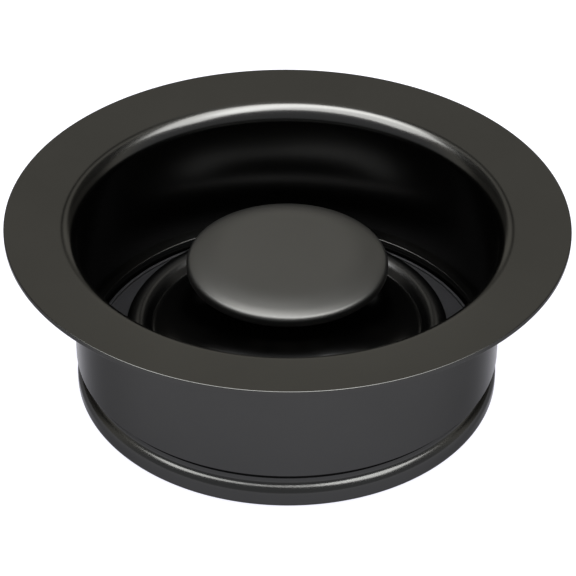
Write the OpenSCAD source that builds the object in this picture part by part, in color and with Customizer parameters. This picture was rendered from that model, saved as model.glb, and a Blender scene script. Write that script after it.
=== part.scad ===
// Sink flange for a kitchen waste disposal, with its lift-out stopper.
// The origin is on the axis at the underside of the foot, and +Z is up.

/* [Rim and throat] */
// Outside diameter of the rim
rim_d = 114.3; // [112:0.1:118]
// Height from the underside of the foot to the top of the rim
flange_h = 40; // [38:0.5:44]
// Metal thickness at the edge of the rim
rim_t = 1.0; // [0.9:0.1:1.2]
// Slope of the dished rim down towards the throat, in degrees
rim_slope = 6; // [4:0.5:7]
// Radius of the roll from the rim into the throat
roll_r = 3.8; // [3.4:0.1:4.2]
// Inside diameter of the throat
throat_d = 85.6; // [85.2:0.1:86]
// Outside diameter of the collar that passes through the sink
collar_d = 87.8; // [87.6:0.1:88.2]

/* [Foot and seat] */
// Outside diameter of the foot
foot_d = 87.7; // [87:0.1:87.8]
// Height of the foot up to the snap ring groove
foot_h = 5.4; // [5:0.1:5.6]
// Height of the snap ring groove
groove_h = 2.9; // [2.7:0.1:3.1]
// Diameter of the groove's floor
groove_d = 84.6; // [84.4:0.1:85]
// Diameter of the narrow waist that takes the seal
waist_d = 82.6; // [82.2:0.1:82.8]
// Height of the top of the waist
waist_h = 9.2; // [9.1:0.1:9.6]
// Inside diameter of the ledge that the seal rests on
ledge_d = 79.8; // [79:0.1:80.2]
// Height of the ledge
ledge_z = 5.7; // [5.4:0.1:6]

/* [Stopper] */
// Outside diameter of the rubber seal
seal_d = 81.8; // [81.4:0.1:82]
// Thickness of the seal's flat web
seal_t = 1.3; // [1.1:0.1:1.6]
// Outside diameter of the dome
dome_d = 67.2; // [67:0.1:68]
// Height of the dome's rounded bead above the seal
dome_h = 7.3; // [7.2:0.1:8]
// Depth from the top of the bead to the bed inside it
bed_depth = 2.1; // [1.9:0.1:2.2]
// Radius of the dome's shoulder
shoulder_r = 2.3; // [1.8:0.1:2.3]
// Metal thickness of the dome and of the backing plate
sheet_t = 1.0; // [0.8:0.1:1.2]
// Outside diameter of the backing plate
plate_d = 74; // [72:0.5:76]

/* [Knob] */
// Diameter of the knob
knob_d = 41.3; // [40:0.1:43]
// Height of the gap between the seal and the knob
knob_gap = 20; // [19:0.1:21]
// Height of the knob
knob_h = 3.8; // [3.8:0.1:4.5]
// Slope of the knob's crown, in degrees
crown_slope = 14; // [12:1:15]
// Radius from the knob's flat top to its crown
crown_r = 24; // [20:1:26]
// Slope of the knob's brow above its side, in degrees
brow_slope = 22; // [20:1:24]
// Radius from the knob's brow to its side
brow_edge_r = 1.2; // [1:0.1:1.2]
// Metal thickness of the knob's cap
cap_t = 0.8; // [0.7:0.1:0.8]
// Diameter of the neck under the knob
neck_d = 30; // [28:0.5:30]
// Diameter of the flared foot of the neck
flare_d = 56; // [55:0.1:56]
// Slope of the flare above its foot, in degrees
flare_slope = 12; // [11:0.5:13]

/* [Fasteners] */
// Thread diameter of the stud
stud_d = 6; // [5:1:6]
// Nut size across its flats
nut_flats = 10; // [10:0.5:11]
// Nut height
nut_h = 5; // [4.5:0.1:5.2]
// Flat washer diameter
washer_d = 18; // [16:1:20]

/* [Hidden] */
$fn = 128;

metal = [0.235, 0.230, 0.222];
metal_light = [0.285, 0.280, 0.270];
rubber = [0.16, 0.16, 0.175];
bare_steel = [0.62, 0.62, 0.63];

// Largest turn between two points of an arc, in degrees
arc_step = 7.5;
// Clearance round the stud in every piece that it passes through
stud_fit = 0.05;

rim_r = rim_d / 2;
throat_r = throat_d / 2;
collar_r = collar_d / 2;
waist_r = waist_d / 2;
// Radius of both rounded edges of the rim
rim_edge_r = 0.2;
// The rim's sloping top reaches this height at its sharp corner, before rounding
rim_corner_z = flange_h + rim_edge_r * (tan(rim_slope) + 1 / cos(rim_slope) - 1);
// The sloping top meets the line of the throat's wall here
roll_corner_z = rim_corner_z - (rim_r - throat_r) * tan(rim_slope);
// Flat land under the rim that seats on the sink
land_z = roll_corner_z + roll_r * tan(rim_slope) - rim_t;
land_outer_r = throat_r + roll_r + 5;
collar_fillet = 2.6;
groove_top = foot_h + groove_h;
// The foot's rounded top slopes out of the groove at this angle
foot_slope = 35;

seal_r = seal_d / 2;
seal_top = ledge_z + seal_t;
seal_hole_r = 25;
lip_w = 0.65;
lip_rise = 0.25;
lip_groove = 0.2;

dome_r = dome_d / 2;
dome_top = seal_top + dome_h;
bed_z = dome_top - bed_depth;
bead_r = dome_r - 3.7;
bed_r = bead_r - 1.8;
stud_r = stud_d / 2;
stud_hole_r = stud_r + stud_fit;

knob_r = knob_d / 2;
knob_bottom = seal_top + knob_gap;
knob_top = knob_bottom + knob_h;
// Radius of the rolled edge under the knob
knob_edge_r = 0.85;
// Sharp corners of the cap's outer face, before rounding
crown_start_r = knob_r - 5.58;
brow_r = knob_r - 1.65;
brow_z = knob_top - (brow_r - crown_start_r) * tan(crown_slope);
side_top_z = brow_z - (knob_r - brow_r) * tan(brow_slope);
cap_mouth_r = knob_r - 3;
insert_r = cap_mouth_r + 1.1;
insert_bottom = knob_bottom + cap_t;
insert_t = 1.1;
boss_r = 6.5;
// The boss holds the cap up from inside
boss_top = knob_top - cap_t;

neck_r = neck_d / 2;
flare_r = flare_d / 2;
o_ring_r = 6.3;
o_ring_section = 0.75;

// The backing plate's middle is pressed up into the dome, round the nut
pocket_r = 17;
pocket_top = 10.6;
plate_top = ledge_z;
plate_hub_bottom = pocket_top - sheet_t;

washer_t = 1.6;
lock_washer_t = 1.6;
lock_washer_r = 5.2;
lock_gap = 1.2;
washer_bottom = plate_hub_bottom - washer_t;
lock_bottom = washer_bottom - lock_washer_t;
nut_bottom = lock_bottom - nut_h;
stud_bottom = nut_bottom - 0.7;
stud_top = boss_top - 0.9;

// Offset of one corner of a sheet's inner face from its outer face, for the directions on both sides
function corner_shift(a, b) =
    let (m = [-a.y, a.x], n = [-b.y, b.x])
    (m + n) / (1 + m * n);

// Profile of a bent sheet: its outer face follows the corners, its inner face lies thick below
function pressed(corners, thick) =
    let (last = len(corners) - 1,
         sides = [for (i = [0:last - 1]) unit(flat_point(corners[i + 1]) - flat_point(corners[i]))],
         inner = [for (i = [0:last])
             let (a = sides[max(i - 1, 0)],
                  b = sides[min(i, last - 1)],
                  p = flat_point(corners[i]) - thick * corner_shift(a, b),
                  bend = a.x * b.y - a.y * b.x)
             [p.x, p.y, corners[i][2] + thick * sign(bend)]])
    concat(corners, [for (i = [last:-1:0]) inner[i]]);

function unit(v) = v / norm(v);
function short_turn(a) = a > 180 ? a - 360 : a < -180 ? a + 360 : a;

// Points of the arc of radius r that rounds the corner b between a and c
function corner_arc(a, b, c, r) =
    let (u = unit(a - b),
         v = unit(c - b),
         half_angle = acos(u * v) / 2,
         centre = b + unit(u + v) * r / sin(half_angle),
         from = b + u * r / tan(half_angle) - centre,
         to = b + v * r / tan(half_angle) - centre,
         start = atan2(from.y, from.x),
         turn = short_turn(atan2(to.y, to.x) - start),
         steps = max(1, ceil(abs(turn) / arc_step)))
    [for (i = [0:steps]) centre + r * [cos(start + turn * i / steps), sin(start + turn * i / steps)]];

function flat_point(corner) = [corner[0], corner[1]];

// An outline from corners [radius from the axis, height, corner radius]
function outline(corners) =
    let (n = len(corners))
    [for (i = [0:n - 1])
        each corners[i][2] > 0
            ? corner_arc(flat_point(corners[(i + n - 1) % n]), flat_point(corners[i]),
                         flat_point(corners[(i + 1) % n]), corners[i][2])
            : [flat_point(corners[i])]];

module turned(corners) {
    rotate_extrude() polygon(outline(corners));
}

module stud_hole(bottom, top) {
    translate([0, 0, bottom - 1]) cylinder(h = top - bottom + 2, r = stud_hole_r);
}

// One turned shell: dished rim, throat, seat ledge, foot, groove and collar
module sink_flange() {
    ledge_r = ledge_d / 2;
    foot_r = foot_d / 2;
    groove_r = groove_d / 2;
    color(metal) turned([
        [rim_r, rim_corner_z, rim_edge_r],
        [throat_r, roll_corner_z, roll_r],
        [throat_r, waist_h, 0],
        [waist_r, waist_h, 0.1],
        [waist_r, ledge_z, 0],
        [ledge_r, ledge_z, 0.3],
        [ledge_r, 0, 0.6],
        [foot_r, 0, 1.7],
        [foot_r, foot_h - (foot_r - groove_r) * tan(foot_slope), 2.4],
        [groove_r, foot_h, 1.1],
        [groove_r, groove_top - 1.7, 0.8],
        [groove_r + 0.6, groove_top - 0.1, 0.1],
        [collar_r, groove_top, 0.4],
        [collar_r, land_z, collar_fillet],
        [land_outer_r, land_z, 0],
        [rim_r, flange_h - rim_t, rim_edge_r],
    ]);
}

// Flat rubber ring with a raised lip round its edge
module seal_ring() {
    lip_r = seal_r - lip_w;
    color(rubber) turned([
        [seal_hole_r, seal_top, 0],
        [seal_hole_r, ledge_z, 0],
        [seal_r, ledge_z, 0.35],
        [seal_r, seal_top + lip_rise, 0.3],
        [lip_r, seal_top + lip_rise, 0.2],
        [lip_r - 0.1, seal_top - lip_groove, 0],
        [lip_r - 0.4, seal_top - lip_groove, 0],
        [lip_r - 0.5, seal_top, 0.1],
    ]);
}

// Drawn cup, open side down, that presses on the seal. A rounded bead stands round its flat bed.
module stopper_dome() {
    color(metal) turned(pressed([
        [stud_hole_r, bed_z, 0],
        [bed_r, bed_z, 0.8],
        [bead_r, dome_top, 3],
        [dome_r, dome_top, shoulder_r],
        [dome_r, seal_top, 0],
    ], sheet_t));
}

// Pressed cap whose edge is rolled under the insert
module knob_cap() {
    color(metal_light) turned(pressed([
        [0, knob_top, 0],
        [crown_start_r, knob_top, crown_r],
        [brow_r, brow_z, 9],
        [knob_r, side_top_z, brow_edge_r],
        [knob_r, knob_bottom, knob_edge_r],
        [cap_mouth_r, knob_bottom, 0],
    ], cap_t));
}

// Disc inside the cap, with the threaded boss for the stud
module knob_insert() {
    insert_top = insert_bottom + insert_t;
    color(bare_steel) difference() {
        turned([
            [0, boss_top, 0],
            [boss_r, boss_top, 0.3],
            [boss_r, insert_top, 0.4],
            [insert_r, insert_top, 0.3],
            [insert_r, insert_bottom, 0],
            [neck_r, insert_bottom, 0],
            [neck_r, knob_bottom, 0],
            [0, knob_bottom, 0],
        ]);
        translate([0, 0, knob_bottom - 1]) cylinder(h = stud_top - knob_bottom + 1.1, r = stud_hole_r);
    }
}

// Neck that flares down onto the dome, grooved for the ring
module stem_collar() {
    lip_z = bed_z + 0.3;
    lip_inner_r = flare_r - 0.6;
    flare_z = lip_z + (lip_inner_r - neck_r) * tan(flare_slope);
    color(metal) difference() {
        turned([
            [0, bed_z, 0],
            [flare_r, bed_z, 0],
            [flare_r, lip_z, 0.1],
            [lip_inner_r, lip_z, 3],
            [neck_r, flare_z, 12.5],
            [neck_r, knob_bottom, 0.1],
            [0, knob_bottom, 0],
        ]);
        stud_hole(bed_z, knob_bottom);
        rotate_extrude() translate([o_ring_r - 1.1, bed_z - 1])
            square([2.2, 2 * o_ring_section + 1]);
    }
}

module stem_o_ring() {
    color(rubber) rotate_extrude() translate([o_ring_r, bed_z + o_ring_section])
        circle(r = o_ring_section, $fn = 24);
}

// Short tube that keeps the nut from pulling the dome in
module core_spacer() {
    color(bare_steel) difference() {
        translate([0, 0, pocket_top]) cylinder(h = bed_z - sheet_t - pocket_top, r = 9);
        stud_hole(pocket_top, bed_z);
    }
}

// Pressed plate that clamps the seal up against the dome
module backing_plate() {
    plate_r = plate_d / 2;
    wall_r = pocket_r + sheet_t;
    color(bare_steel) difference() {
        turned([
            [0, pocket_top, 0],
            [wall_r, pocket_top, 1.8],
            [wall_r + 1.5, plate_top, 0.8],
            [plate_r, plate_top, 0],
            [plate_r, plate_top - sheet_t, 0.5],
            [pocket_r + 1.5, plate_top - sheet_t, 1.8],
            [pocket_r, plate_hub_bottom, 0.8],
            [0, plate_hub_bottom, 0],
        ]);
        stud_hole(plate_hub_bottom, pocket_top);
    }
}

module flat_washer() {
    color(bare_steel) difference() {
        turned([
            [0, washer_bottom, 0],
            [washer_d / 2, washer_bottom, 0.2],
            [washer_d / 2, washer_bottom + washer_t, 0.3],
            [0, washer_bottom + washer_t, 0],
        ]);
        stud_hole(washer_bottom, plate_hub_bottom);
    }
}

// Split spring washer
module lock_washer() {
    color(bare_steel) difference() {
        translate([0, 0, lock_bottom]) cylinder(h = lock_washer_t, r = lock_washer_r);
        stud_hole(lock_bottom, washer_bottom);
        rotate([0, 0, 35]) translate([0, -lock_gap / 2, lock_bottom - 1])
            cube([lock_washer_r + 1, lock_gap, lock_washer_t + 2]);
    }
}

module hex_nut() {
    corner_r = nut_flats / 2 / cos(30);
    bevel = corner_r - nut_flats / 2;
    color(bare_steel) difference() {
        intersection() {
            translate([0, 0, nut_bottom]) cylinder(h = nut_h, r = corner_r, $fn = 6);
            turned([
                [0, nut_bottom, 0],
                [nut_flats / 2, nut_bottom, 0],
                [corner_r + 0.1, nut_bottom + bevel * 0.6, 0],
                [corner_r + 0.1, lock_bottom - bevel * 0.6, 0],
                [nut_flats / 2, lock_bottom, 0],
                [0, lock_bottom, 0],
            ]);
        }
        stud_hole(nut_bottom, lock_bottom);
    }
}

module stem_stud() {
    color(bare_steel) turned([
        [0, stud_bottom, 0],
        [stud_r - 0.6, stud_bottom, 0],
        [stud_r, stud_bottom + 0.6, 0],
        [stud_r, stud_top - 0.6, 0],
        [stud_r - 0.6, stud_top, 0],
        [0, stud_top, 0],
    ]);
}

sink_flange();
seal_ring();
stopper_dome();
knob_cap();
knob_insert();
stem_collar();
stem_o_ring();
core_spacer();
backing_plate();
flat_washer();
lock_washer();
hex_nut();
stem_stud();
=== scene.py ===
"""Sink flange of a kitchen waste disposal with its lift-out stopper, in a pale studio.

Metres, +Z up, origin on the axis at the underside of the foot. The pieces that show are turned shapes built
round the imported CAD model, whose boxes give the driving sizes. The hidden pieces keep their CAD shapes."""
import math

import bmesh
import bpy
from mathutils import Matrix, Vector

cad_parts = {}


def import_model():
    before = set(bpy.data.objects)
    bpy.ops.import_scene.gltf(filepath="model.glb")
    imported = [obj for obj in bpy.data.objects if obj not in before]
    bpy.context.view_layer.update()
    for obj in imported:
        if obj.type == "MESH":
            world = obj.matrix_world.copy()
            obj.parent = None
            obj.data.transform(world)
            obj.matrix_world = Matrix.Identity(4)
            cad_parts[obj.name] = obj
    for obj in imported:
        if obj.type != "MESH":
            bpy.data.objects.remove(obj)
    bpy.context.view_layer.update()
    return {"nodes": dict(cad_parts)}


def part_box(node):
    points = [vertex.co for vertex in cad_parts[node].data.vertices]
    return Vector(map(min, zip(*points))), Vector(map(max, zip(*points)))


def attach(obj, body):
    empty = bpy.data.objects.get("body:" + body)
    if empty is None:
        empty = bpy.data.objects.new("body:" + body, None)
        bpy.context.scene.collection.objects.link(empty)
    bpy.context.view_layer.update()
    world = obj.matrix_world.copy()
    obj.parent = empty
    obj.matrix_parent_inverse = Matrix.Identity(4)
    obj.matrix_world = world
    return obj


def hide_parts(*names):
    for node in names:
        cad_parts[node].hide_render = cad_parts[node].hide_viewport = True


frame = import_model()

MM = 0.001
MICRON = 0.001 * MM
scene = bpy.context.scene

# ---------------------------------------------------------------- sizes


def top(node):
    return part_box(node)[1].z


def bottom(node):
    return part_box(node)[0].z


def radius(node):
    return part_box(node)[1].x


# Sizes that the boxes of the CAD nodes give. The dome stands on the seal, and the neck on the dome's bed.
RIM_R = radius("sink_flange")
FLANGE_H = top("sink_flange")
SEAL_R = radius("seal_ring")
LIP_TOP = top("seal_ring")
SEAL_TOP = bottom("stopper_dome")
LEDGE_Z = bottom("seal_ring")
DOME_R = radius("stopper_dome")
DOME_TOP = top("stopper_dome")
BED_Z = bottom("stem_collar")
FLARE_R = radius("stem_collar")
KNOB_R = radius("knob_cap")
KNOB_TOP = top("knob_cap")
KNOB_BOTTOM = bottom("knob_cap")
STUD_HOLE_R = radius("stem_stud") + 0.05 * MM

# Rim, roll, throat and collar
RIM_SLOPE = math.radians(6)
RIM_T = 1.0 * MM
RIM_EDGE_R = 0.2 * MM
ROLL_R = 3.8 * MM
THROAT_R = 42.8 * MM
COLLAR_R = 43.9 * MM
COLLAR_FILLET_R = 2.6 * MM
LAND_R = THROAT_R + ROLL_R + 5 * MM

# Foot, snap ring groove, and the waist and ledge inside them
FOOT_R = 43.85 * MM
FOOT_H = 5.4 * MM
FOOT_SLOPE = math.radians(35)
GROOVE_TOP = 8.3 * MM
GROOVE_R = 42.3 * MM
COVE_W = 0.6 * MM
COVE_H = 1.7 * MM
WAIST_R = 41.3 * MM
WAIST_TOP = 9.2 * MM
LEDGE_R = 39.9 * MM

# Seal, with a fine groove inside its raised lip
SEAL_HOLE_R = 25 * MM
LIP_R = SEAL_R - 0.65 * MM
LIP_GROOVE_DEPTH = 0.2 * MM

# Dome
DOME_T = 1.0 * MM
BED_R = 28.1 * MM
BEAD_R = 29.9 * MM

# Knob cap, from its flat top out over the crown and the brow to its side
CAP_T = 0.8 * MM
CROWN_R = KNOB_R - 5.58 * MM
CROWN_SLOPE = math.radians(14)
BROW_R = KNOB_R - 1.65 * MM
BROW_SLOPE = math.radians(22)
CAP_MOUTH_R = KNOB_R - 3 * MM

# Neck under the knob
NECK_R = 15 * MM
FLARE_SLOPE = math.radians(12)
FLARE_LIP_H = 0.3 * MM
FLARE_LIP_W = 0.6 * MM

# ---------------------------------------------------------------- turned shapes

ARC_STEP = math.radians(4)
TURNS = 288
WELD_DISTANCE = 1e-7
SHARP_ANGLE = math.radians(35)


def corner_arc(a, b, c, r):
    """Points of the arc of radius r that rounds the corner b between a and c."""
    u, v = (a - b).normalized(), (c - b).normalized()
    half = u.angle(v) / 2
    centre = b + (u + v).normalized() * (r / math.sin(half))
    first = b + u * (r / math.tan(half)) - centre
    last = b + v * (r / math.tan(half)) - centre
    start = math.atan2(first.y, first.x)
    turn = (math.atan2(last.y, last.x) - start + math.pi) % (2 * math.pi) - math.pi
    steps = max(2, math.ceil(abs(turn) / ARC_STEP))
    angles = [start + turn * i / steps for i in range(steps + 1)]
    return [centre + Vector((math.cos(t), math.sin(t))) * r for t in angles]


def outline(corners):
    """Points of a closed profile whose corners are (radius from the axis, height, corner radius)."""
    points = []
    for i, (x, y, r) in enumerate(corners):
        here = Vector((x, y))
        if r > 0:
            before, after = corners[i - 1], corners[(i + 1) % len(corners)]
            points += corner_arc(Vector(before[:2]), here, Vector(after[:2]), r)
        else:
            points.append(here)
    return points


def pressed(corners, thick):
    """Closed profile of a bent sheet: its outer face follows the corners, its inner face lies thick below."""
    points = [Vector(c[:2]) for c in corners]
    sides = [(b - a).normalized() for a, b in zip(points, points[1:])]
    inner = []
    for i, (x, y, r) in enumerate(corners):
        a, b = sides[max(i - 1, 0)], sides[min(i, len(sides) - 1)]
        normal_a, normal_b = Vector((-a.y, a.x)), Vector((-b.y, b.x))
        shift = (normal_a + normal_b) / (1 + normal_a.dot(normal_b)) * thick
        bend = a.x * b.y - a.y * b.x
        inner_r = r + math.copysign(thick, bend) if bend else r
        inner.append((x - shift.x, y - shift.y, inner_r))
    return list(corners) + inner[::-1]


def finish_mesh(name, bm):
    """Turns bm into an object in the scene, shaded smooth except over sharp edges."""
    bmesh.ops.remove_doubles(bm, verts=bm.verts, dist=WELD_DISTANCE)
    bmesh.ops.recalc_face_normals(bm, faces=bm.faces)
    mesh = bpy.data.meshes.new(name)
    bm.to_mesh(mesh)
    bm.free()
    mesh.shade_smooth()
    mesh.set_sharp_from_angle(angle=SHARP_ANGLE)
    obj = bpy.data.objects.new(name, mesh)
    scene.collection.objects.link(obj)
    return obj


def lathe(name, corners):
    """A closed profile turned round the axis."""
    bm = bmesh.new()
    angles = [2 * math.pi * k / TURNS for k in range(TURNS)]
    rings = []
    for p in outline(corners):
        if p.x < WELD_DISTANCE:
            rings.append([bm.verts.new((0, 0, p.y))])
        else:
            rings.append([bm.verts.new((p.x * math.cos(t), p.x * math.sin(t), p.y)) for t in angles])
    for i, ring in enumerate(rings):
        after = rings[(i + 1) % len(rings)]
        if len(ring) == 1 and len(after) == 1:
            continue
        for k in range(TURNS):
            j = (k + 1) % TURNS
            around = [ring[k % len(ring)], after[k % len(after)], after[j % len(after)], ring[j % len(ring)]]
            face = list(dict.fromkeys(around))
            if len(face) > 2:
                bm.faces.new(face)
    return finish_mesh(name, bm)


# ---------------------------------------------------------------- materials


class Nodes:
    """Short calls for building a node tree."""

    def __init__(self, tree):
        self.tree = tree

    def add(self, kind, **values):
        """A new node. Each value is linked or written to the socket of that name, or else set on the node."""
        node = self.tree.nodes.new("ShaderNode" + kind)
        for key, value in values.items():
            if key in node.inputs:
                self.feed(node.inputs[key], value)
            else:
                setattr(node, key, value)
        return node

    def feed(self, socket, value):
        if isinstance(value, bpy.types.NodeSocket):
            self.tree.links.new(value, socket)
        else:
            socket.default_value = value

    def math(self, operation, a, b=0.0):
        node = self.add("Math", operation=operation)
        self.feed(node.inputs[0], a)
        self.feed(node.inputs[1], b)
        return node.outputs[0]

    def scaled(self, value, low, high):
        """value from 0..1 spread over low..high."""
        return self.add("MapRange", **{"Value": value, "To Min": low, "To Max": high}).outputs[0]

    def ramp(self, value, start, end):
        """Smooth step from 0 at start to 1 at end."""
        node = self.add("MapRange", **{"Value": value, "From Min": start, "From Max": end})
        node.interpolation_type = "SMOOTHSTEP"
        return node.outputs[0]

    def mix(self, factor, low, high):
        """Colour from low at 0 to high at 1."""
        node = self.add("Mix", data_type="RGBA")
        colours = [socket for socket in node.inputs if socket.type == "RGBA"]
        self.feed(node.inputs[0], factor)
        self.feed(colours[0], (*low, 1))
        self.feed(colours[1], (*high, 1))
        return next(socket for socket in node.outputs if socket.type == "RGBA")


class Material(Nodes):
    """A material's node tree, with its shader."""

    def __init__(self, name):
        self.material = bpy.data.materials.new(name)
        self.material.use_nodes = True
        super().__init__(self.material.node_tree)
        self.shader = self.tree.nodes["Principled BSDF"]

    def position(self):
        return self.add("TexCoord").outputs["Object"]

    def noise(self, vector, scale, detail=2.0, roughness=0.5):
        """Grey noise. On a position, scale is its number of grains in a metre."""
        node = self.add("TexNoise", Vector=vector, Scale=scale, Detail=detail, Roughness=roughness)
        return node.outputs["Fac"]

    def around(self, vector, along, across):
        """Coordinates (turn * along, radius * across, height * across), for marks that run round the axis."""
        x, y, z = self.add("SeparateXYZ", Vector=vector).outputs
        turn = self.math("ARCTAN2", y, x)
        reach = self.math("SQRT", self.math("ADD", self.math("MULTIPLY", x, x), self.math("MULTIPLY", y, y)))
        joined = self.add("CombineXYZ")
        for socket, value, factor in zip(joined.inputs, (turn, reach, z), (along, across, across)):
            self.feed(socket, self.math("MULTIPLY", value, factor))
        return joined.outputs[0]

    def bump(self, *layers):
        """Layers of (height socket, depth in metres)."""
        normal = None
        for height, depth in layers:
            node = self.add("Bump", Strength=1.0, Distance=depth, Height=height)
            if normal is not None:
                self.feed(node.inputs["Normal"], normal)
            normal = node.outputs[0]
        self.feed(self.shader.inputs["Normal"], normal)

    def set(self, **values):
        """Values for the shader's sockets, with _ for each space in a name."""
        for key, value in values.items():
            self.feed(self.shader.inputs[key.replace("_", " ")], value)


def shades(tone, darker, lighter):
    """Two shades of a colour."""
    return [tuple(channel * factor for channel in tone) for factor in (darker, lighter)]


def gunmetal(name, tone, rough, grazing):
    """Dark coat over satin turned metal. grazing is how bright it gets where it turns away, from 0 to 1."""
    m = Material(name)
    place = m.position()
    brushing = m.noise(m.around(place, along=6, across=9000), scale=1, detail=3, roughness=0.6)
    grain = m.noise(place, scale=2600)
    clouds = m.noise(place, scale=55, detail=3)
    gloss = m.scaled(grain, rough - 0.03, rough + 0.03)
    m.set(Base_Color=m.mix(clouds, *shades(tone, 0.93, 1.07)), Metallic=1.0)
    m.set(Specular_Tint=(grazing, grazing, grazing, 1))
    m.set(Roughness=m.math("ADD", gloss, m.scaled(clouds, -0.02, 0.02)))
    m.bump((brushing, 0.8 * MICRON), (grain, 0.5 * MICRON))
    return m.material


def rubber():
    """Matte black moulded rubber with a faint bloom."""
    m = Material("seal_rubber")
    place = m.position()
    grain = m.noise(place, scale=3200, detail=3, roughness=0.6)
    bloom = m.noise(place, scale=900)
    m.set(Base_Color=m.mix(bloom, (0.003, 0.003, 0.004), (0.007, 0.0073, 0.009)), Metallic=0.0)
    m.set(Roughness=m.scaled(grain, 0.45, 0.65), Specular_IOR_Level=0.22)
    m.bump((grain, 20 * MICRON))
    return m.material


def bare_metal(name, tone, rough):
    """Uncoated metal with fine marks round the axis."""
    m = Material(name)
    place = m.position()
    brushing = m.noise(m.around(place, along=4, across=4000), scale=1, detail=3, roughness=0.6)
    spots = m.noise(place, scale=400)
    m.set(Base_Color=m.mix(spots, *shades(tone, 0.88, 1.08)), Metallic=1.0)
    m.set(Roughness=m.scaled(brushing, rough - 0.06, rough + 0.08))
    m.bump((brushing, 3 * MICRON))
    return m.material


FLANGE_METAL = gunmetal("gunmetal_flange", (0.045, 0.045, 0.0435), rough=0.21, grazing=0.5)
DOME_METAL = gunmetal("gunmetal_dome", (0.037, 0.037, 0.037), rough=0.25, grazing=0.5)
# The neck's tone is darker than the dome's. The extra darkness is painted shade where the knob shades the
# neck.
SHADED_NECK_METAL = gunmetal("gunmetal_neck_painted_shade", (0.032, 0.032, 0.032), rough=0.17, grazing=0.5)
KNOB_METAL = gunmetal("gunmetal_knob", (0.042, 0.042, 0.0405), rough=0.40, grazing=1.0)
RUBBER = rubber()
STAINLESS = bare_metal("stainless_sheet", (0.56, 0.55, 0.53), rough=0.33)
ZINC = bare_metal("zinc_plated", (0.60, 0.61, 0.62), rough=0.36)

# ---------------------------------------------------------------- pieces


def place_piece(obj, node, body, material):
    """Puts a finished piece on its body, in place of its CAD node."""
    obj.data.materials.append(material)
    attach(obj, body)
    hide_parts(node)


def sink_flange():
    """One shell: dished rim, roll, throat, waist, ledge, foot, groove, collar and the land under the rim."""
    # The rim's sloping top at its sharp outer corner, before that is rounded to FLANGE_H
    rim_corner = FLANGE_H + RIM_EDGE_R * (math.tan(RIM_SLOPE) + 1 / math.cos(RIM_SLOPE) - 1)
    roll_corner = rim_corner - (RIM_R - THROAT_R) * math.tan(RIM_SLOPE)
    land = roll_corner + ROLL_R * math.tan(RIM_SLOPE) - RIM_T
    corners = [
        (RIM_R, rim_corner, RIM_EDGE_R),
        (THROAT_R, roll_corner, ROLL_R),
        (THROAT_R, WAIST_TOP, 0),
        (WAIST_R, WAIST_TOP, 0.1 * MM),
        (WAIST_R, LEDGE_Z, 0.15 * MM),
        (LEDGE_R, LEDGE_Z, 0.3 * MM),
        (LEDGE_R, 0, 0.6 * MM),
        (FOOT_R, 0, 1.7 * MM),
        (FOOT_R, FOOT_H - (FOOT_R - GROOVE_R) * math.tan(FOOT_SLOPE), 2.4 * MM),
        (GROOVE_R, FOOT_H, 1.1 * MM),
        (GROOVE_R, GROOVE_TOP - COVE_H, 0.8 * MM),
        (GROOVE_R + COVE_W, GROOVE_TOP - 0.1 * MM, 0.1 * MM),
        (COLLAR_R, GROOVE_TOP, 0.4 * MM),
        (COLLAR_R, land, COLLAR_FILLET_R),
        (LAND_R, land, 0.8 * MM),
        (RIM_R, FLANGE_H - RIM_T, RIM_EDGE_R),
    ]
    place_piece(lathe("flange_shell", corners), "sink_flange", "flange", FLANGE_METAL)


def seal_ring():
    """Flat rubber ring with a raised lip round its edge."""
    groove_floor = SEAL_TOP - LIP_GROOVE_DEPTH
    corners = [
        (SEAL_HOLE_R, SEAL_TOP, 0.2 * MM),
        (SEAL_HOLE_R, LEDGE_Z, 0.2 * MM),
        (SEAL_R, LEDGE_Z, 0.35 * MM),
        (SEAL_R, LIP_TOP, 0.3 * MM),
        (LIP_R, LIP_TOP, 0.2 * MM),
        (LIP_R - 0.1 * MM, groove_floor, 0.04 * MM),
        (LIP_R - 0.4 * MM, groove_floor, 0.04 * MM),
        (LIP_R - 0.5 * MM, SEAL_TOP, 0.1 * MM),
    ]
    place_piece(lathe("rubber_seal", corners), "seal_ring", "seal", RUBBER)


def stopper_dome():
    """Drawn cup, open side down. A rounded bead stands round its flat bed."""
    corners = [
        (STUD_HOLE_R, BED_Z, 0),
        (BED_R, BED_Z, 0.8 * MM),
        (BEAD_R, DOME_TOP, 3 * MM),
        (DOME_R, DOME_TOP, 2.3 * MM),
        (DOME_R, SEAL_TOP, 0),
    ]
    cup = lathe("dome_cup", pressed(corners, DOME_T))
    place_piece(cup, "stopper_dome", "stopper", DOME_METAL)


def knob_cap():
    """Pressed cap whose edge is rolled in underneath."""
    brow_z = KNOB_TOP - (BROW_R - CROWN_R) * math.tan(CROWN_SLOPE)
    corners = [
        (0, KNOB_TOP, 0),
        (CROWN_R, KNOB_TOP, 24 * MM),
        (BROW_R, brow_z, 9 * MM),
        (KNOB_R, brow_z - (KNOB_R - BROW_R) * math.tan(BROW_SLOPE), 1.2 * MM),
        (KNOB_R, KNOB_BOTTOM, 0.85 * MM),
        (CAP_MOUTH_R, KNOB_BOTTOM, 0),
    ]
    shell = lathe("knob_shell", pressed(corners, CAP_T))
    place_piece(shell, "knob_cap", "stopper", KNOB_METAL)


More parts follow.
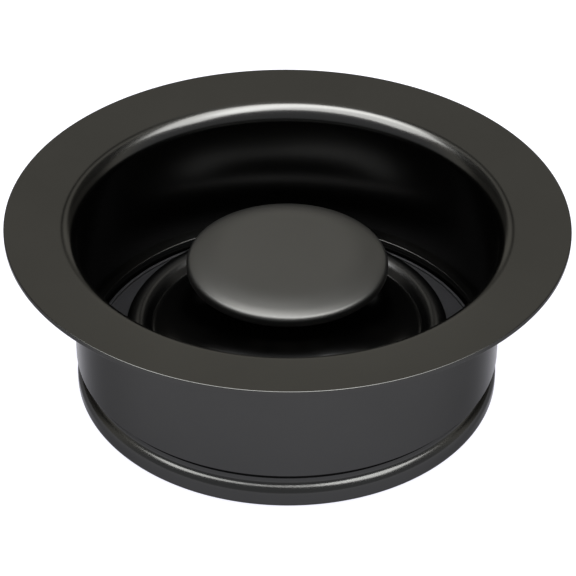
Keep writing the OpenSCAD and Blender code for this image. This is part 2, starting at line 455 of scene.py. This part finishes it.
def stem_collar():
    """Neck under the knob, which flares down onto the dome's bed."""
    lip_z, lip_r = BED_Z + FLARE_LIP_H, FLARE_R - FLARE_LIP_W
    corners = [
        (STUD_HOLE_R, BED_Z, 0),
        (FLARE_R, BED_Z, 0),
        (FLARE_R, lip_z, 0.1 * MM),
        (lip_r, lip_z, 3 * MM),
        (NECK_R, lip_z + (lip_r - NECK_R) * math.tan(FLARE_SLOPE), 12.5 * MM),
        (NECK_R, KNOB_BOTTOM, 0.1 * MM),
        (STUD_HOLE_R, KNOB_BOTTOM, 0),
    ]
    # The neck's darker tone is painted shade from the knob above it.
    place_piece(lathe("flared_neck", corners), "stem_collar", "stopper", SHADED_NECK_METAL)


def hidden_pieces():
    """The CAD nodes inside the stopper keep their shapes and get a material."""
    looks = (
        (STAINLESS, ("knob_insert", "core_spacer", "backing_plate", "flat_washer")),
        (ZINC, ("lock_washer", "hex_nut", "stem_stud")),
        (RUBBER, ("stem_o_ring",)),
    )
    for material, nodes in looks:
        for node in nodes:
            materials = frame["nodes"][node].data.materials
            materials.clear()
            materials.append(material)


sink_flange()
seal_ring()
stopper_dome()
knob_cap()
stem_collar()
hidden_pieces()

# ---------------------------------------------------------------- studio


def camera():
    """Stands in front of the flange and looks down on it through a long lens."""
    data = bpy.data.cameras.new("camera")
    data.sensor_width = 36.0
    data.lens = 154.8
    data.clip_start, data.clip_end = 0.01, 50
    obj = bpy.data.objects.new("camera", data)
    scene.collection.objects.link(obj)
    tilt, distance = math.radians(34.40), 0.500
    right = Vector((1, 0, 0))
    forward = Vector((0, math.cos(tilt), -math.sin(tilt)))
    place = Vector((0, 0, FLANGE_H)) - forward * distance
    view = [right, right.cross(forward), forward]
    # It looks at the middle of the rim, and is then turned down, sideways and round its own axis
    for i, degrees in enumerate((-1.67, -0.02, -0.40)):
        turn = Matrix.Rotation(math.radians(degrees), 3, view[i])
        view = [turn @ axis for axis in view]
    right, up, forward = view
    obj.matrix_world = Matrix.Translation(place) @ Matrix((right, up, -forward)).transposed().to_4x4()
    scene.camera = obj
    scene.view_settings.view_transform = "Standard"


# Watts that one square metre of a lamp needs for each unit of its radiance
WATTS_PER_RADIANCE = 4


def softbox(name, direction, distance, size, radiance, spin=0.0, diffuse=False):
    """A rectangular light that faces the object. radiance is what a mirror would show of it.

    It lights matte surfaces if diffuse is true, and otherwise it only shows in reflections."""
    width, height = size
    data = bpy.data.lights.new(name, "AREA")
    data.shape = "RECTANGLE"
    data.size, data.size_y = width, height
    data.energy = WATTS_PER_RADIANCE * radiance * width * height
    obj = bpy.data.objects.new(name, data)
    scene.collection.objects.link(obj)
    obj.location = Vector(direction).normalized() * distance + Vector((0, 0, FLANGE_H))
    obj.rotation_mode = "QUATERNION"
    turn = Vector(direction).to_track_quat("Z", "Y")
    obj.rotation_quaternion = turn @ Matrix.Rotation(math.radians(spin), 3, "Z").to_quaternion()
    obj.visible_camera = False
    obj.visible_diffuse = diffuse
    obj.visible_glossy = not diffuse


def world():
    """A pale room, warmer behind than in front. Its back has a dark panel and a dark wing on each side,
    and gets brighter towards the floor."""
    panel_shade, wing_shade, low_glow, darkest = 0.85, 1.3, 0.5, 0.1
    front_colour, back_colour = (0.575, 0.585, 0.61), (1.03, 0.99, 0.89)
    scene.world = bpy.data.worlds.new("room")
    scene.world.use_nodes = True
    n = Nodes(scene.world.node_tree)
    # x, y and z are a direction's parts, from -1 to 1: to the right, to the back and up
    x, y, z = n.add("SeparateXYZ", Vector=n.add("TexCoord").outputs["Generated"]).outputs
    aside = n.math("ABSOLUTE", x)
    behind = n.ramp(y, 0.1, 0.4)
    panel = n.math("MULTIPLY", n.ramp(aside, 0.13, 0.18), n.ramp(aside, 0.32, 0.26))
    panel = n.math("MULTIPLY", panel, behind)
    wings = n.math("MULTIPLY", n.ramp(aside, 0.42, 0.52), behind)
    low = n.math("MULTIPLY", n.ramp(z, 0.60, 0.25), behind)
    shade = n.math("ADD", n.math("MULTIPLY", panel, panel_shade), n.math("MULTIPLY", wings, wing_shade))
    light = n.math("SUBTRACT", n.math("ADD", n.math("MULTIPLY", low, low_glow), 1.0), shade)
    background = n.tree.nodes["Background"]
    n.feed(background.inputs["Color"], n.mix(n.ramp(y, -0.3, 0.3), front_colour, back_colour))
    n.feed(background.inputs["Strength"], n.math("MAXIMUM", light, darkest))


def floor():
    """A wide sheet of pale paper that glows, so that shadows hardly darken it."""
    half_width = 6.0
    bm = bmesh.new()
    bmesh.ops.create_grid(bm, x_segments=1, y_segments=1, size=half_width)
    obj = finish_mesh("floor", bm)
    m = Material("floor_paper")
    grain = m.noise(m.position(), scale=300)
    m.set(Base_Color=m.mix(grain, (0.38, 0.38, 0.38), (0.40, 0.40, 0.40)), Roughness=0.9)
    m.set(Specular_IOR_Level=0.0, Emission_Color=(0.90, 0.90, 0.99, 1), Emission_Strength=1.0)
    obj.data.materials.append(m.material)


camera()
world()
floor()
softbox("overhead", (0.0, -0.16, 1.0), distance=1.0, size=(1.97, 0.80), radiance=8.8, spin=-8)
softbox("overhead_core", (-0.02, -0.03, 1.0), distance=0.95, size=(1.2, 0.33), radiance=5.8, spin=-6)
softbox("fill", (0.0, -0.2, 1.0), distance=1.5, size=(2.0, 2.0), radiance=0.9, diffuse=True)
